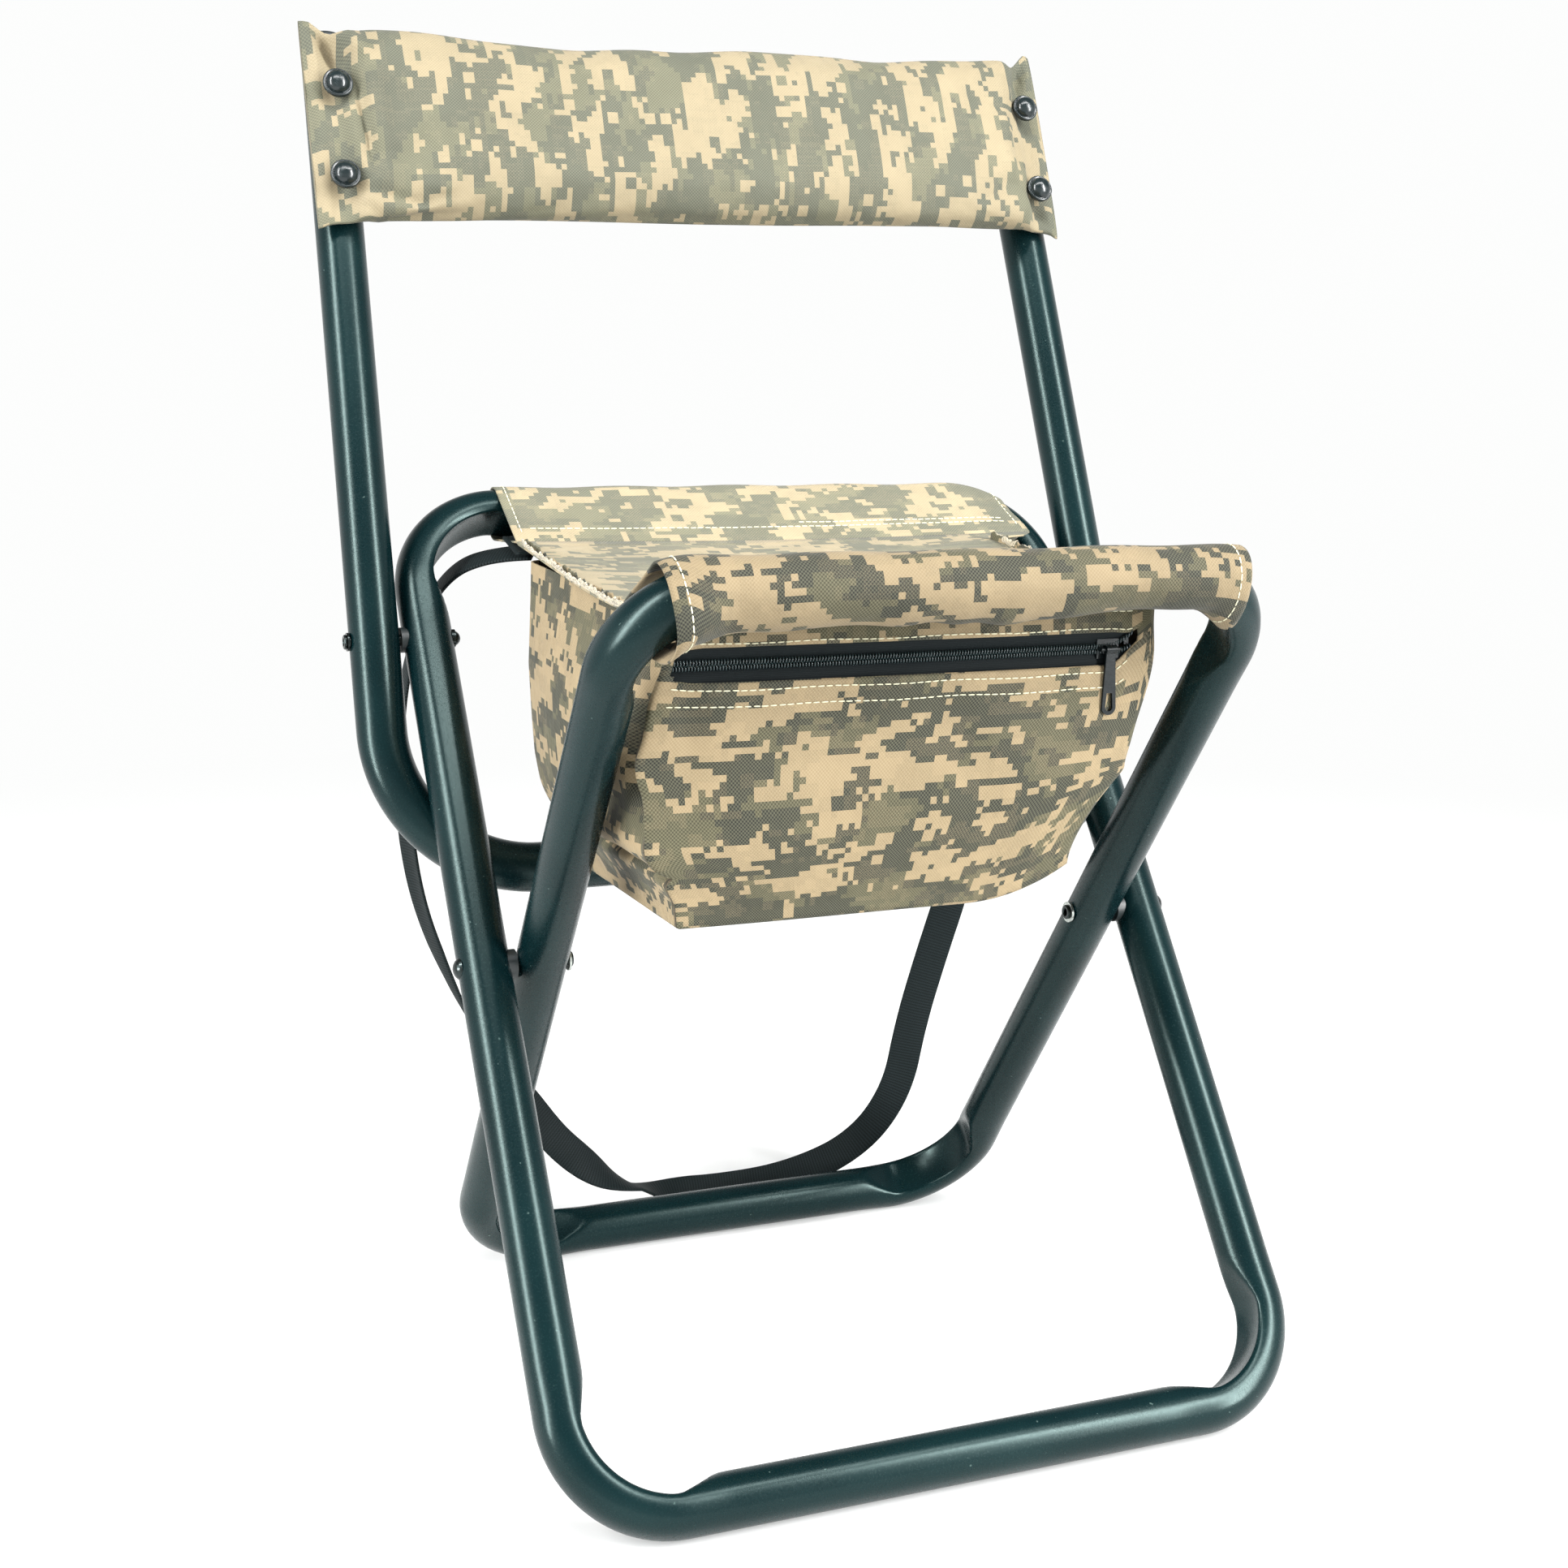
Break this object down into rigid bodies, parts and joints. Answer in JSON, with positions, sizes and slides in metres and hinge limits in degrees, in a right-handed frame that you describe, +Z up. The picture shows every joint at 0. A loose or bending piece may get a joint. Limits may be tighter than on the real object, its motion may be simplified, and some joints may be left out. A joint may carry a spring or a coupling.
{
  "type": "folding camp stool with backrest",
  "caption": "Folding camp stool: two crossed tube loops, a tilting tube back with a padded cloth panel, a sling seat with a zipped bag under it and a carry strap.",
  "frame": {"origin": "centre of the folding frame's footprint, on the floor", "axes": "+X across the seat to the sitter's left seen from the front, +Y to the rear, +Z up"},
  "size_m": [0.388, 0.3653, 0.5943],
  "materials": {
    "frame_paint": "satin powder coat",
    "bare_steel": "bare",
    "black_plastic": "moulded",
    "dark_rivet": "dark plated",
    "zinc": "zinc plated",
    "black_screw": "black",
    "camouflage_cloth": "oxford weave, printed",
    "zip_tape": "woven tape",
    "zip_coil": "nylon coil",
    "zip_metal": "black lacquer",
    "webbing": "woven strap"
  },
  "bodies": {
    "outer_frame": {"outer_leg_frame": "frame_paint", "outer_frame_spigot": "bare_steel", "leg_pivot_rivets": "dark_rivet", "back_pivot_rivets": "dark_rivet", "leg_pivot_washers": "zinc", "back_pivot_inner_washers": "dark_rivet", "back_pivot_outer_washers": "dark_rivet", "leg_pivot_spacers": "black_plastic", "back_pivot_spacers": "black_plastic", "rear_seat_sleeve": "camouflage_cloth", "seat_panel": "camouflage_cloth", "seat_apron": "camouflage_cloth", "bag_front": "camouflage_cloth", "bag_back": "camouflage_cloth", "bag_floor": "camouflage_cloth", "bag_left_side": "camouflage_cloth", "bag_right_side": "camouflage_cloth", "bag_seam_bindings": "camouflage_cloth", "zip_tape_upper": "zip_tape", "zip_tape_lower": "zip_tape", "zip_teeth": "zip_coil", "zip_end_stops": "zip_metal", "carry_strap": "webbing", "carry_strap_tabs": "webbing"},
    "inner_frame": {"inner_leg_frame": "frame_paint", "inner_frame_spigot": "bare_steel", "front_seat_sleeve": "camouflage_cloth"},
    "backrest": {"backrest_frame": "frame_paint", "backrest_end_plugs": "black_plastic", "back_panel": "camouflage_cloth", "back_panel_washers": "black_plastic", "back_panel_screws": "black_screw"},
    "zip_slider": {"zip_slider": "zip_metal"},
    "zip_pull": {"zip_pull": "zip_metal"}
  },
  "joints": [
    {"name": "leg_fold", "type": "hinge", "parent": "outer_frame", "child": "inner_frame", "pos_m": [0, -0.03465, 0.192], "axis": [-1, 0, 0], "range_deg": [0, 60], "deforming": ["seat_apron", "carry_strap"]},
    {"name": "back_fold", "type": "hinge", "parent": "outer_frame", "child": "backrest", "pos_m": [0, 0.0601, 0.31718], "axis": [1, 0, 0], "range_deg": [0, 88], "deforming": ["carry_strap"]},
    {"name": "zip_slide", "type": "slide", "parent": "outer_frame", "child": "zip_slider", "axis": [1, 0, 0], "range_m": [-0.178, 0], "deforming": ["zip_teeth"]},
    {"name": "zip_pull_swing", "type": "hinge", "parent": "zip_slider", "child": "zip_pull", "pos_m": [0.083, -0.12465, 0.328], "axis": [-1, 0, 0], "range_deg": [0, 115]}
  ]
}
